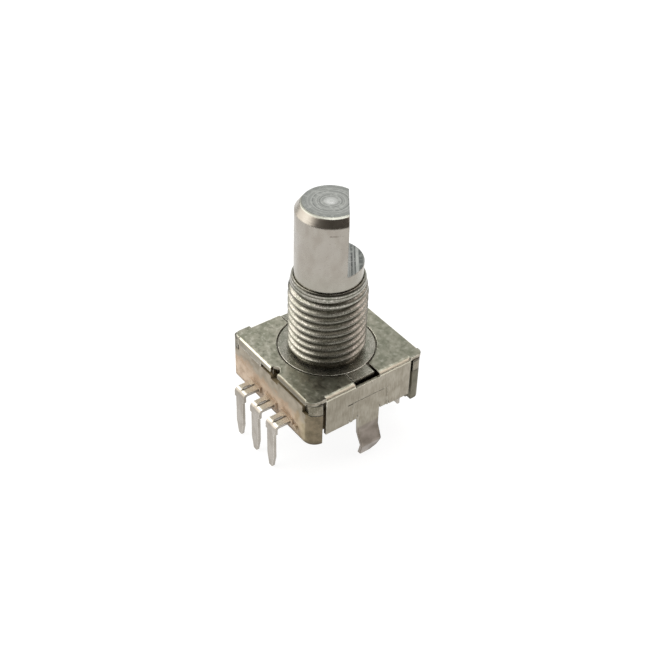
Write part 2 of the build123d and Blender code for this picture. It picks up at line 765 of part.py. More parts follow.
# ---------------------------------------------------------------- base housing
strip_width = 2
rim_r = 0.18
boss_depth = 0.22
boss_r = 0.28
with BuildPart() as base_housing:
    with BuildSketch(Plane.XY.offset(base_bottom_z)):
        add(post_outline())
    extrude(amount=base_top_z - base_bottom_z)
    # rounded lower rim of the corner feet
    fillet(base_housing.faces().sort_by(Axis.Z)[0].outer_wire().edges(), rim_r)
    # raised front and back walls
    with BuildSketch(Plane.XY.offset(base_top_z)):
        with Locations((wall_centre_x, (base_front_y + wall_front_y) / 2)):
            Rectangle(wall_length, wall_front_y - base_front_y)
        with Locations((wall_centre_x, (base_back_y + wall_back_y) / 2)):
            Rectangle(wall_length, base_back_y - wall_back_y)
    extrude(amount=side_wall_top_z - base_top_z)
    # recess behind the frame's notch
    with BuildSketch(Plane.XY.offset(notch_floor_z)):
        with Locations(((notch_left_x + notch_right_x) / 2, base_front_y)):
            Rectangle(notch_right_x - notch_left_x, 1.2)
    extrude(amount=1, mode=Mode.SUBTRACT)
    # rotor cavity, plunger well, switch chamber
    with BuildSketch(Plane.XY.offset(cavity_floor_z)):
        Circle(cavity_r)
    extrude(amount=3, mode=Mode.SUBTRACT)
    with BuildSketch(Plane.XY.offset(plunger_well_z)):
        Circle(plunger_well_r)
    extrude(amount=1, mode=Mode.SUBTRACT)
    with BuildSketch(Plane.XY.offset(base_bottom_z)):
        Circle(plunger_r + clearance)
    extrude(amount=2, mode=Mode.SUBTRACT)
    with BuildSketch(Plane.XY.offset(base_bottom_z - 1)):
        Circle(chamber_r)
    extrude(amount=chamber_top_z - base_bottom_z + 1, mode=Mode.SUBTRACT)
    # seat of the switch base, open at the back
    with BuildSketch(Plane.XY.offset(base_bottom_z - 1)):
        with Locations((0, (base_back_y + 1 - switch_base_half - 0.05) / 2)):
            Rectangle(2 * switch_base_half + 0.1, base_back_y + 1 + switch_base_half + 0.05)
    extrude(amount=switch_base_top_z - base_bottom_z + 1, mode=Mode.SUBTRACT)
    # side strips between the feet, where the frame's tabs fold under
    with BuildSketch(Plane.XY.offset(base_bottom_z - 1)):
        for side in (-1, 1):
            with Locations((side * (side_strip_x + strip_width / 2), (skirt_front_y + skirt_back_y) / 2)):
                Rectangle(strip_width, skirt_back_y - skirt_front_y + 0.2)
    extrude(amount=side_strip_z - base_bottom_z + 1, mode=Mode.SUBTRACT)
    # windows over the terminals' inner ends
    with BuildSketch(Plane.XY.offset(terminal_top_z)):
        with Locations((-terminal_pitch, -3.1), (terminal_pitch, -3.1), (0, -3.7)):
            Rectangle(1.0, 1.1)
    extrude(amount=1, mode=Mode.SUBTRACT)
    # moulded collars round the terminals, and a small boss at the front corner
    with BuildSketch(Plane.XZ.offset(-base_front_y)):
        with Locations((0, terminal_top_z - terminal_sheet / 2)):
            with GridLocations(terminal_pitch, 1, 3, 1):
                RectangleRounded(1.9, 0.8, 0.2)
        with Locations((3.85, -4.0)):
            Circle(boss_r)
    extrude(amount=boss_depth)
    add(terminal_a.part, mode=Mode.SUBTRACT)
    add(terminal_b.part, mode=Mode.SUBTRACT)
    add(terminal_c.part, mode=Mode.SUBTRACT)
base_housing.part.label = "base_housing"
export_step(base_housing.part, "parts/base_housing.step")

# ---------------------------------------------------------------- detent spring, wheel, rotor, code disc
bump_height = 0.13
spring_sheet = 0.15
spring_inner_r = 3.35
spring_outer_r = 4.35
bump_length = 0.8
spring_bottom_z = pocket_z - seat_gap - spring_sheet
with BuildPart() as detent_spring:
    with BuildSketch(Plane.XY.offset(spring_bottom_z)):
        Circle(spring_outer_r)
        Circle(spring_inner_r, mode=Mode.SUBTRACT)
        with PolarLocations((spring_inner_r + spring_outer_r) / 2, 2, start_angle=45):
            SlotOverall(1.6, 0.3, rotation=90, mode=Mode.SUBTRACT)
    extrude(amount=spring_sheet)
    # two pressed bumps that ride over the wheel's teeth
    for bump_x in (spring_inner_r + 0.1, -spring_inner_r - 0.1 - bump_length):
        with BuildSketch(Plane.YZ.offset(bump_x)):
            with Locations((0, spring_bottom_z)):
                Circle(bump_height)
        extrude(amount=bump_length)
detent_spring.part.label = "detent_spring"
export_step(detent_spring.part, "parts/detent_spring.step")


def drive_hole():
    """Outline of the hole that takes the shaft's flats, drawn into the open sketch."""
    with BuildSketch(mode=Mode.PRIVATE) as hole:
        Circle(drive_r + clearance)
        Rectangle(3 * drive_r, 2 * (drive_flat + clearance), mode=Mode.INTERSECT)
    return hole.sketch


tooth_ring_inner_r = 3.4
tooth_gap_width = 0.62
clip_room = 0.12
with BuildPart() as detent_wheel:
    with BuildSketch(Plane.XY.offset(wheel_bottom_z)):
        Circle(wheel_r)
        add(drive_hole(), mode=Mode.SUBTRACT)
    extrude(amount=wheel_top_z - tooth_height - wheel_bottom_z)
    # toothed ring
    with BuildSketch(Plane.XY.offset(wheel_top_z - tooth_height)):
        Circle(wheel_r)
        Circle(tooth_ring_inner_r, mode=Mode.SUBTRACT)
        with PolarLocations((tooth_ring_inner_r + wheel_r) / 2, detents):
            Rectangle(1.2, tooth_gap_width, mode=Mode.SUBTRACT)
    extrude(amount=tooth_height)
    # room for the clip over the whole push
    with BuildSketch(Plane.XY.offset(ring_bottom_z - push_room)):
        Circle(clip_outer_r + clip_room)
    extrude(amount=1, mode=Mode.SUBTRACT)
detent_wheel.part.label = "detent_wheel"
export_step(detent_wheel.part, "parts/detent_wheel.step")

with BuildPart() as code_rotor:
    with BuildSketch(Plane.XY.offset(rotor_bottom_z)):
        Circle(wheel_r - 0.05)
        add(drive_hole(), mode=Mode.SUBTRACT)
    extrude(amount=wheel_bottom_z - rotor_bottom_z)
code_rotor.part.label = "code_rotor"
export_step(code_rotor.part, "parts/code_rotor.step")

disc_inner_r = 2.3
code_track_r = 3.55
code_slot_length = 0.9
code_slot_width = 0.55
with BuildPart() as code_disc:
    with BuildSketch(Plane.XY.offset(rotor_bottom_z - disc_sheet)):
        Circle(wheel_r - 0.15)
        Circle(disc_inner_r, mode=Mode.SUBTRACT)
        with PolarLocations(code_track_r, detents):
            Rectangle(code_slot_length, code_slot_width, mode=Mode.SUBTRACT)
    extrude(amount=disc_sheet)
code_disc.part.label = "code_disc"
export_step(code_disc.part, "parts/code_disc.step")
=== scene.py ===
import json
import math

import bpy
from mathutils import Matrix, Vector


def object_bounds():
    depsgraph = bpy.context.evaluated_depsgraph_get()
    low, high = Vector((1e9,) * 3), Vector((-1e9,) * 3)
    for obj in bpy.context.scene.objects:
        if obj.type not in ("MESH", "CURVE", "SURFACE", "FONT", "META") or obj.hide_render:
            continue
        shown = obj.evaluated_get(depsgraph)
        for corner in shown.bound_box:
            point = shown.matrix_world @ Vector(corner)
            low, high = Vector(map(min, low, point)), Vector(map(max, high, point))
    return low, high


MM = 0.001

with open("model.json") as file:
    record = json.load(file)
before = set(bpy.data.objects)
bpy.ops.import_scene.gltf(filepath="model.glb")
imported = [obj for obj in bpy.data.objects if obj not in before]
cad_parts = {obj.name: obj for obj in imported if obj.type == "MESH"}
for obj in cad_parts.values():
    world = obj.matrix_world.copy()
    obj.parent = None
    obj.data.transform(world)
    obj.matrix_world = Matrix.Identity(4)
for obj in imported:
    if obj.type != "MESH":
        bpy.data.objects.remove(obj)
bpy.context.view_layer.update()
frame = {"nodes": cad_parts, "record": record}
nodes = frame["nodes"]

X_WAY = (1, 0, 0)
Y_WAY = (0, 1, 0)
Z_WAY = (0, 0, 1)


# ---------------------------------------------------------------- camera
# azimuth (from -Y towards +X), elevation and roll in degrees
CAMERA_AZIMUTH = 52.85
CAMERA_ELEVATION = 39.08
CAMERA_ROLL = 1.63
CAMERA_DISTANCE = 100 * MM
CAMERA_LENS = 63.93
CAMERA_CLIP = 1 * MM
AIM_HEIGHT = 5.0 * MM
AIM_RIGHT = -0.19 * MM
AIM_UP = -2.26 * MM


def direction(azimuth, elevation):
    """Unit vector at an azimuth from -Y towards +X and an elevation, both in degrees."""
    a, e = math.radians(azimuth), math.radians(elevation)
    return Vector((math.sin(a) * math.cos(e), -math.cos(a) * math.cos(e), math.sin(e)))


def make_camera():
    """A long lens above the corner between the terminals and a lug, as the object is seen."""
    back = direction(CAMERA_AZIMUTH, CAMERA_ELEVATION)
    right = direction(CAMERA_AZIMUTH + 90, 0)
    up = back.cross(right)
    aim = Vector((0, 0, AIM_HEIGHT)) + AIM_RIGHT * right + AIM_UP * up
    roll = math.radians(CAMERA_ROLL)
    turned_right = math.cos(roll) * right + math.sin(roll) * up
    turned_up = -math.sin(roll) * right + math.cos(roll) * up
    place = Matrix((turned_right, turned_up, back)).transposed().to_4x4()
    place.translation = aim + CAMERA_DISTANCE * back
    data = bpy.data.cameras.new("camera")
    data.lens = CAMERA_LENS
    data.clip_start = CAMERA_CLIP
    camera = bpy.data.objects.new("camera", data)
    camera.matrix_world = place
    bpy.context.scene.collection.objects.link(camera)
    bpy.context.scene.camera = camera


# ---------------------------------------------------------------- studio
FLOOR_HALF = 3.0
FLOOR_DROP = 0.1 * MM
FLOOR_GREY = 0.2
FLOOR_ROUGHNESS = 0.9
FLOOR_GLOW = 0.90
ROOM_GREY = (0.11, 0.10, 0.088, 1)
# each soft box: azimuth from the camera, elevation, half angle at full strength,
# half angle where it has faded out, strength, colour
SOFTBOXES = (
    (-103, 36, 26, 44, 2.3, (1.0, 0.98, 0.94)),
    (150, 75, 10, 24, 2.4, (1.0, 1.0, 1.0)),
    (105, 36, 16, 32, 1.05, (1.0, 0.89, 0.86)),
    (180, 33, 22, 50, 0.62, (0.97, 1.0, 0.97)),
)

# the sockets of a Mix node that carry colours, and those that carry plain numbers
COLOUR_A, COLOUR_B, COLOUR_OUT = 6, 7, 2
NUMBER_A, NUMBER_B, NUMBER_OUT = 2, 3, 0


def rgb(r, g, b):
    """An opaque colour, as sockets take it."""
    return (r, g, b, 1)


def make_floor():
    """A lit white table under the terminals' tips."""
    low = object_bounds()[0]
    mesh = bpy.data.meshes.new("floor")
    s, z = FLOOR_HALF, low[2] - FLOOR_DROP
    mesh.from_pydata([(-s, -s, z), (s, -s, z), (s, s, z), (-s, s, z)], [], [(0, 1, 2, 3)])
    floor = bpy.data.objects.new("floor", mesh)
    bpy.context.scene.collection.objects.link(floor)
    material = bpy.data.materials.new("floor_table")
    material.use_nodes = True
    shader = material.node_tree.nodes["Principled BSDF"]
    shader.inputs["Base Color"].default_value = rgb(FLOOR_GREY, FLOOR_GREY, FLOOR_GREY)
    shader.inputs["Roughness"].default_value = FLOOR_ROUGHNESS
    shader.inputs["Emission Color"].default_value = rgb(1, 1, 1)
    shader.inputs["Emission Strength"].default_value = FLOOR_GLOW
    mesh.materials.append(material)


def make_studio():
    """A dim room with soft boxes round the object, as one soft environment."""
    world = bpy.data.worlds.new("studio")
    bpy.context.scene.world = world
    world.use_nodes = True
    tree = world.node_tree
    look = tree.nodes.new("ShaderNodeTexCoord").outputs["Generated"]
    total = None
    for azimuth, elevation, inner, outer, strength, colour in SOFTBOXES:
        dot = tree.nodes.new("ShaderNodeVectorMath")
        dot.operation = "DOT_PRODUCT"
        dot.inputs[1].default_value = direction(CAMERA_AZIMUTH + azimuth, elevation)
        tree.links.new(look, dot.inputs[0])
        fade = tree.nodes.new("ShaderNodeMapRange")
        fade.interpolation_type = "SMOOTHSTEP"
        fade.inputs["From Min"].default_value = math.cos(math.radians(outer))
        fade.inputs["From Max"].default_value = math.cos(math.radians(inner))
        tree.links.new(dot.outputs["Value"], fade.inputs["Value"])
        glow = tree.nodes.new("ShaderNodeMix")
        glow.data_type = "RGBA"
        glow.blend_type = "ADD"
        glow.inputs[COLOUR_A].default_value = ROOM_GREY
        glow.inputs[COLOUR_B].default_value = rgb(*(strength * c for c in colour))
        tree.links.new(fade.outputs["Result"], glow.inputs["Factor"])
        if total:
            tree.links.new(total, glow.inputs[COLOUR_A])
        total = glow.outputs[COLOUR_OUT]
    tree.links.new(total, tree.nodes["Background"].inputs["Color"])


# ---------------------------------------------------------------- materials
BEVEL_SAMPLES = 4
# cosine between an edge's rounded and flat normals, where the edge mask starts and where it is full
EDGE_START, EDGE_FULL = 0.99, 0.93
# steepness of a face, 1 being level, where it starts to count as level and where it fully does
LEVEL_START, LEVEL_FULL = 0.80, 0.95


class Finish:
    """One procedural material. Its texture coordinates are millimetres in the part's frame."""

    def __init__(self, name, colour, metallic, roughness):
        self.material = bpy.data.materials.new(name)
        self.material.use_nodes = True
        self.tree = self.material.node_tree
        self.shader = self.tree.nodes["Principled BSDF"]
        self.shader.inputs["Metallic"].default_value = metallic
        self.shader.inputs["Roughness"].default_value = roughness
        self.shader.inputs["Base Color"].default_value = rgb(*colour)
        texture = self.tree.nodes.new("ShaderNodeTexCoord")
        self.place = self.vector("MULTIPLY", texture.outputs["Object"], (1 / MM, 1 / MM, 1 / MM))
        self.facing = self.tree.nodes.new("ShaderNodeNewGeometry").outputs["Normal"]
        self.normal = None

    def link(self, source, socket):
        """Links another node's output, or sets the socket to a plain value."""
        if isinstance(source, bpy.types.NodeSocket):
            self.tree.links.new(source, socket)
        else:
            socket.default_value = source

    def vector(self, operation, a, b):
        """One step of vector arithmetic, as a number for a dot product or a length."""
        node = self.tree.nodes.new("ShaderNodeVectorMath")
        node.operation = operation
        self.link(a, node.inputs[0])
        self.link(b, node.inputs[1])
        return node.outputs["Value"] if operation in ("DOT_PRODUCT", "LENGTH") else node.outputs["Vector"]

    def math(self, operation, a, b=0.0):
        """One step of arithmetic on plain numbers."""
        node = self.tree.nodes.new("ShaderNodeMath")
        node.operation = operation
        self.link(a, node.inputs[0])
        self.link(b, node.inputs[1])
        return node.outputs["Value"]

    def both(self, a, b):
        """Product of two masks."""
        return self.math("MULTIPLY", a, b)

    def noise(self, scale, detail=3.0, stretch=(1, 1, 1), place=None):
        """Noise with `scale` features per millimetre, drawn out along axes with a small stretch."""
        node = self.tree.nodes.new("ShaderNodeTexNoise")
        node.inputs["Scale"].default_value = scale
        node.inputs["Detail"].default_value = detail
        place = place or self.place
        self.link(self.vector("MULTIPLY", place, stretch), node.inputs["Vector"])
        return node.outputs["Fac"]

    def steps(self, value, low, high, start=0.0, end=1.0):
        """Smooth change from start to end as value goes from low to high."""
        node = self.tree.nodes.new("ShaderNodeMapRange")
        node.interpolation_type = "SMOOTHSTEP"
        self.link(value, node.inputs["Value"])
        node.inputs["From Min"].default_value = low
        node.inputs["From Max"].default_value = high
        node.inputs["To Min"].default_value = start
        node.inputs["To Max"].default_value = end
        return node.outputs["Result"]

    def mix(self, factor, a, b):
        """Colour between a and b."""
        node = self.tree.nodes.new("ShaderNodeMix")
        node.data_type = "RGBA"
        self.link(factor, node.inputs[0])
        self.link(a, node.inputs[COLOUR_A])
        self.link(b, node.inputs[COLOUR_B])
        return node.outputs[COLOUR_OUT]

    def blend(self, factor, a, b):
        """Plain number between a and b."""
        node = self.tree.nodes.new("ShaderNodeMix")
        self.link(factor, node.inputs[0])
        self.link(a, node.inputs[NUMBER_A])
        self.link(b, node.inputs[NUMBER_B])
        return node.outputs[NUMBER_OUT]

    def mottle(self, noise, dark, pale, low=0.35, high=0.65):
        """Cloudy change from the dark colour to the pale one as the noise goes from low to high."""
        return self.mix(self.steps(noise, low, high), dark, pale)

    def rounded(self, radius):
        """Softens every edge by a bevel of this radius in millimetres. Returns a mask of the edges."""
        node = self.tree.nodes.new("ShaderNodeBevel")
        node.samples = BEVEL_SAMPLES
        node.inputs["Radius"].default_value = radius * MM
        self.normal = node.outputs["Normal"]
        return self.steps(self.vector("DOT_PRODUCT", self.normal, self.facing), EDGE_START, EDGE_FULL)

    def bump(self, height, depth, strength=1.0):
        """Adds relief: height 0..1 stands for this depth in millimetres."""
        node = self.tree.nodes.new("ShaderNodeBump")
        node.inputs["Strength"].default_value = strength
        node.inputs["Distance"].default_value = depth * MM
        self.link(height, node.inputs["Height"])
        if self.normal:
            self.link(self.normal, node.inputs["Normal"])
        self.normal = node.outputs["Normal"]

    def tilt(self):
        """0 on upright faces, 1 on level ones."""
        return self.math("ABSOLUTE", self.vector("DOT_PRODUCT", self.facing, Z_WAY))

    def upward(self):
        """1 on faces that look up or down, 0 on upright ones."""
        return self.steps(self.tilt(), LEVEL_START, LEVEL_FULL)

    def toward(self, way):
        """Distance along a direction from the shaft's axis and the seat, in millimetres."""
        return self.vector("DOT_PRODUCT", self.place, way)

    def height(self):
        """Height over the seat in millimetres."""
        return self.toward(Z_WAY)

    def from_height(self, level):
        """Distance above or below a level, in millimetres."""
        return self.math("ABSOLUTE", self.math("SUBTRACT", self.height(), level))

    def from_axis(self):
        """Distance from the shaft's axis in millimetres."""
        return self.vector("LENGTH", self.vector("MULTIPLY", self.place, (1, 1, 0)), (0, 0, 0))

    def along(self, value):
        """A place that changes with one value only, for rings and streaks."""
        node = self.tree.nodes.new("ShaderNodeCombineXYZ")
        self.link(value, node.inputs["X"])
        return node.outputs["Vector"]

    def finish(self, colour, roughness):
        """Connects the colour, the roughness and the relief, and hands over the material."""
        self.link(colour, self.shader.inputs["Base Color"])
        self.link(roughness, self.shader.inputs["Roughness"])
        self.link(self.normal, self.shader.inputs["Normal"])
        return self.material


# ---------------------------------------------------------------- sheet frame
# heights over the seat, places along X and Y, all in millimetres
SHEET_ROUND = 0.14
CREASE_HEIGHT = -2.04
CREASE_HALF = 2.1
LUG_TOP = -5.2
BEND_BOTTOM, BEND_TOP = -1.0, -0.6
CALM_TOP, CALM_BOTTOM = -0.8, -1.2
FRONT_LIP = -5.6
NOTCH_RIGHT = 0.4
TOP_SHADE_WAY = (1, 0.4, 0)
SCRATCH_LEVEL = 0.66
# pale colour of the sheet's edges: wear with a painted highlight
TIN_WEAR_AND_HIGHLIGHT = rgb(0.92, 0.89, 0.78)


def sheet_top(f, cloud, speck, scratch):
    """The level faces: speckled plating with short scratches, and painted shade that darkens them towards
    the +X side.
    """
    flat = f.mottle(cloud, rgb(0.30, 0.30, 0.235), rgb(0.47, 0.45, 0.37), 0.38, 0.62)
    flat = f.mix(f.steps(speck, 0.52, 0.68, 0.0, 0.6), flat, rgb(0.66, 0.64, 0.56))
    flat = f.mix(f.steps(speck, 0.47, 0.33, 0.0, 0.55), flat, rgb(0.16, 0.16, 0.125))
    flat = f.mix(f.steps(scratch, SCRATCH_LEVEL, 0.72, 0.0, 0.6), flat, rgb(0.70, 0.68, 0.60))
    # painted shade: the level faces darken towards the +X side
    return f.mix(f.steps(f.toward(TOP_SHADE_WAY), -1.0, 5.0, 0.0, 0.35), flat, rgb(0.17, 0.175, 0.135))


def sheet_side(f, cloud, lug, lip):
    """The upright faces: drawn grain, painted shade darker towards the terminals, darker on the lugs, and
    a painted highlight where the sheet bends.
    """
    grain = f.noise(9.0, 3.0, (1, 1, 0.15))
    side = f.mottle(cloud, rgb(0.285, 0.255, 0.20), rgb(0.36, 0.33, 0.27), 0.3, 0.7)
    side = f.mix(f.steps(grain, 0.52, 0.70, 0.0, 0.4), side, rgb(0.46, 0.43, 0.36))
    side = f.mix(f.steps(grain, 0.46, 0.34, 0.0, 0.4), side, rgb(0.19, 0.165, 0.125))
    # painted shade: the upright faces darken towards the terminals
    side = f.mix(f.steps(f.toward(Y_WAY), 2.0, -4.0, 0.0, 0.35), side, rgb(0.20, 0.18, 0.135))
    side = f.mix(lug, side, f.mottle(cloud, rgb(0.21, 0.18, 0.15), rgb(0.31, 0.27, 0.235), 0.3, 0.7))
    # painted highlight: a pale colour where the sheet bends down into the skirts
    bend_highlight = f.both(f.steps(f.tilt(), 0.15, 0.4), f.steps(f.height(), BEND_BOTTOM, BEND_TOP, 0.0, 0.9))
    side = f.mix(bend_highlight, side, rgb(0.86, 0.82, 0.67))
    return f.mix(lip, side, rgb(0.19, 0.17, 0.13))


def frame_steel():
    """Tin-plated sheet: cloudy speckled top, calmer sides, short scratches, bright edges of wear with a
    painted highlight, painted shade on the lug edges and where the skirt is creased, and a painted
    highlight where it bends.
    """
    f = Finish("tinplate_sheet", (0.36, 0.34, 0.28), 1.0, 0.36)
    edge_mask = f.rounded(SHEET_ROUND)
    top = f.upward()
    cloud = f.noise(0.9, 5.0)
    speck = f.noise(2.5, 4.0)
    fine = f.noise(22.0, 2.0)
    scratch = f.noise(6.0, 2.0, (0.12, 1.6, 0.6))
    lug = f.steps(f.height(), LUG_TOP, LUG_TOP - 0.4)
    lip_front = f.steps(f.toward(Y_WAY), FRONT_LIP, FRONT_LIP - 0.2)
    lip = f.both(lip_front, f.steps(f.toward(X_WAY), NOTCH_RIGHT, NOTCH_RIGHT + 1.0))
    # the edges carry wear and a painted highlight, weaker on the front lip and lower down the sides
    rubbed_and_highlight = f.both(edge_mask, f.steps(speck, 0.35, 0.6, 0.35, 1.0))
    rubbed_and_highlight = f.both(rubbed_and_highlight, f.steps(lip, 0.0, 1.0, 1.0, 0.3))
    calm = f.steps(f.height(), CALM_TOP, CALM_BOTTOM, 1.0, 0.3)
    side = f.mix(f.both(rubbed_and_highlight, calm), sheet_side(f, cloud, lug, lip), TIN_WEAR_AND_HIGHLIGHT)
    # painted shade: the edges of the lugs are darkened
    side = f.mix(f.both(edge_mask, lug), side, rgb(0.12, 0.10, 0.07))
    across = f.math("ABSOLUTE", f.toward(Y_WAY))
    # painted shade: a near-black line where the skirt is creased
    crease_shade = f.steps(f.from_height(CREASE_HEIGHT), 0.10, 0.03)
    crease_shade = f.both(crease_shade, f.steps(across, CREASE_HALF, CREASE_HALF - 0.2, 0.0, 0.95))
    side = f.mix(crease_shade, side, rgb(0.03, 0.025, 0.015))
    flat = f.mix(rubbed_and_highlight, sheet_top(f, cloud, speck, scratch), TIN_WEAR_AND_HIGHLIGHT)
    base = f.mix(top, side, flat)
    rough = f.steps(cloud, 0.35, 0.65, 0.40, 0.28)
    f.bump(cloud, 0.05, 0.4)
    f.bump(f.both(speck, f.steps(top, 0.0, 1.0, 0.25, 1.0)), 0.02, 0.8)
    f.bump(fine, 0.003, 0.8)
    f.bump(f.steps(scratch, SCRATCH_LEVEL, 0.70), 0.004, 0.6)
    return f.finish(base, rough)


# ---------------------------------------------------------------- casting
# radii, and heights over the seat, in millimetres; the painted shade in the thread's roots is full at
# ROOT_FULL and the painted shade on the crests begins at CREST_START
CAST_ROUND = 0.05
ABOVE_COLLAR = 0.1
OUTSIDE_RADIUS = 3.02
ROOT_FULL = 3.16
CREST_START = 3.42
THREAD_END = 6.6
RING_START = 6.35
RING_LINE = 6.55
RING_PITCH = 0.3
PLATE_TOP = -0.3
PLATE_BOTTOM = -1.58
# near-black: painted shade in the thread's roots, and the fine rings at the barrel's top
CAST_NEAR_BLACK = rgb(0.06, 0.055, 0.04)


def cast_barrel(f, base):
    """The threaded barrel: paler, with painted shade in the roots and on the crests, and fine rings at
    its top.
    """
    outside = f.both(
        f.steps(f.height(), ABOVE_COLLAR, ABOVE_COLLAR + 0.1),
        f.steps(f.from_axis(), OUTSIDE_RADIUS, OUTSIDE_RADIUS + 0.08),
    )
    barrel = f.both(outside, f.steps(f.height(), THREAD_END, THREAD_END - 0.4))
    base = f.mix(f.both(barrel, 0.18), base, rgb(0.62, 0.59, 0.53))
    # painted shade: the thread's roots are darkened nearly to black
    root_shade = f.steps(f.from_axis(), CREST_START - 0.03, ROOT_FULL, 0.0, 0.75)
    base = f.mix(f.both(barrel, root_shade), base, CAST_NEAR_BLACK)
    # painted shade: the thread's crests are darkened
    crest_shade = f.steps(f.from_axis(), CREST_START, CREST_START + 0.06, 0.0, 0.75)
    base = f.mix(f.both(barrel, crest_shade), base, rgb(0.16, 0.155, 0.125))
    turns = f.math("PINGPONG", f.math("SUBTRACT", f.height(), RING_LINE), RING_PITCH / 2)
    turns = f.steps(turns, 0.09, 0.03, 0.08, 0.8)
    turns = f.both(turns, f.steps(f.height(), RING_START, RING_START + 0.15))
    return f.mix(f.both(outside, turns), base, CAST_NEAR_BLACK)


def cast_plate(f, base, cloud):
    """The plate under the sheet: duller and browner, with painted shade where it meets sheet and resin.
    """
    dull = f.steps(f.height(), PLATE_TOP + 0.05, PLATE_TOP - 0.1, 0.0, 0.75)
    base = f.mix(dull, base, f.mottle(cloud, rgb(0.125, 0.105, 0.07), rgb(0.215, 0.185, 0.135)))
    # painted shade: near-black lines at the joint with the resin below, and a painted shadow under the
    # sheet above
    seam_shade = f.steps(f.height(), PLATE_BOTTOM + 0.14, PLATE_BOTTOM + 0.04, 0.0, 0.9)
    gap_shadow = f.both(dull, f.steps(f.height(), PLATE_TOP - 0.22, PLATE_TOP - 0.12, 0.0, 1.1))
    return f.mix(f.math("MAXIMUM", seam_shade, gap_shadow), base, rgb(0.02, 0.018, 0.012))


def die_cast_zinc():
    """Zinc casting: grainy skin, painted shade in the thread's roots and on its crests, a duller plate
    with painted shade where it meets sheet and resin, and pale wear on the edges.
    """
    f = Finish("zinc_casting", (0.36, 0.35, 0.31), 1.0, 0.34)
    edge_mask = f.rounded(CAST_ROUND)
    grain = f.noise(7.0, 4.0)
    cloud = f.noise(1.3, 4.0)
    base = f.mottle(cloud, rgb(0.30, 0.30, 0.25), rgb(0.44, 0.42, 0.37))
    base = f.mix(f.steps(grain, 0.55, 0.68, 0.0, 0.8), base, rgb(0.70, 0.67, 0.62))
    base = f.mix(f.steps(grain, 0.45, 0.33, 0.0, 0.6), base, rgb(0.15, 0.14, 0.12))
    base = cast_barrel(f, base)
    base = cast_plate(f, base, cloud)
    wear = f.both(edge_mask, f.steps(f.height(), ABOVE_COLLAR + 0.1, ABOVE_COLLAR, 0.1, 0.45))
    base = f.mix(wear, base, rgb(0.66, 0.62, 0.55))
    rough = f.steps(grain, 0.3, 0.7, 0.40, 0.22)
    f.bump(grain, 0.014, 0.6)
    f.bump(cloud, 0.04, 0.4)
    return f.finish(base, rough)


# ---------------------------------------------------------------- shaft
# radii, and heights over the seat, in millimetres
SHAFT_ROUND = 0.14
FLAT_FACING = math.radians(54)
FLAT_NORMAL = (math.cos(FLAT_FACING), math.sin(FLAT_FACING), 0)
STEP_TOP = 12.0
TINT_TOP, TINT_BOTTOM = 10.5, 7.5
RIM_INNER = 2.34
RIM_OUTER = 2.56
NICK_HEIGHT = 13.6
NICK_SIDE = (0.88, -0.47, 0)
CENTRE_HIGHLIGHT = 0.75


def shaft_side(f, tip, radius, patches, marks):
    """The round wall and the chamfer: handling marks, a tint near the bushing, nicks, and a painted
    highlight round the tip's edge.
    """
    dents = f.noise(4.0, 2.0, (1, 1, 3.0))
    side = f.mottle(marks, rgb(0.345, 0.315, 0.275), rgb(0.39, 0.365, 0.325), 0.30, 0.70)
    side = f.mix(f.steps(f.height(), TINT_TOP, TINT_BOTTOM, 0.0, 0.6), side, rgb(0.365, 0.355, 0.305))
    side = f.mix(f.steps(dents, 0.64, 0.72, 0.0, 0.4), side, rgb(0.24, 0.21, 0.18))
    nicks = f.steps(f.from_height(NICK_HEIGHT), 0.09, 0.03)
    nicks = f.both(nicks, f.steps(patches, 0.48, 0.58, 0.0, 0.6))
    nicks = f.both(nicks, f.steps(f.toward(NICK_SIDE), 2.85, 2.97))
    side = f.mix(nicks, side, rgb(0.13, 0.11, 0.09))
    # painted highlight: a pale ring along the upper edge of the chamfer
    rim_highlight = f.both(tip, f.steps(radius, RIM_OUTER, RIM_OUTER - 0.06))
    return f.mix(rim_highlight, side, rgb(0.43, 0.43, 0.38))


def shaft_ends(f, tip, radius, patches, rings, streaks):
    """The level faces: turning rings on the tip with a painted highlight at its centre, a painted
    reflection in streaks on the step, and painted shade towards the outer edge.
    """
    end = f.mottle(rings, rgb(0.32, 0.325, 0.32), rgb(0.60, 0.605, 0.59), 0.36, 0.64)
    # painted reflection: the step is coloured in near-black and near-white streaks
    step = f.mottle(streaks, rgb(0.10, 0.10, 0.105), rgb(0.88, 0.88, 0.87), 0.44, 0.56)
    end = f.mix(tip, step, end)
    end = f.mix(f.steps(patches, 0.52, 0.62, 0.0, 0.5), end, rgb(0.68, 0.69, 0.67))
    # painted shade: the level faces darken towards their outer edge
    end = f.mix(f.steps(radius, 1.4, 2.9, 0.0, 0.55), end, rgb(0.26, 0.275, 0.265))
    # painted highlight: the centre of the tip is lightened nearly to white
    return f.mix(f.steps(radius, CENTRE_HIGHLIGHT, 0.25, 0.0, 0.7), end, rgb(0.93, 0.93, 0.93))


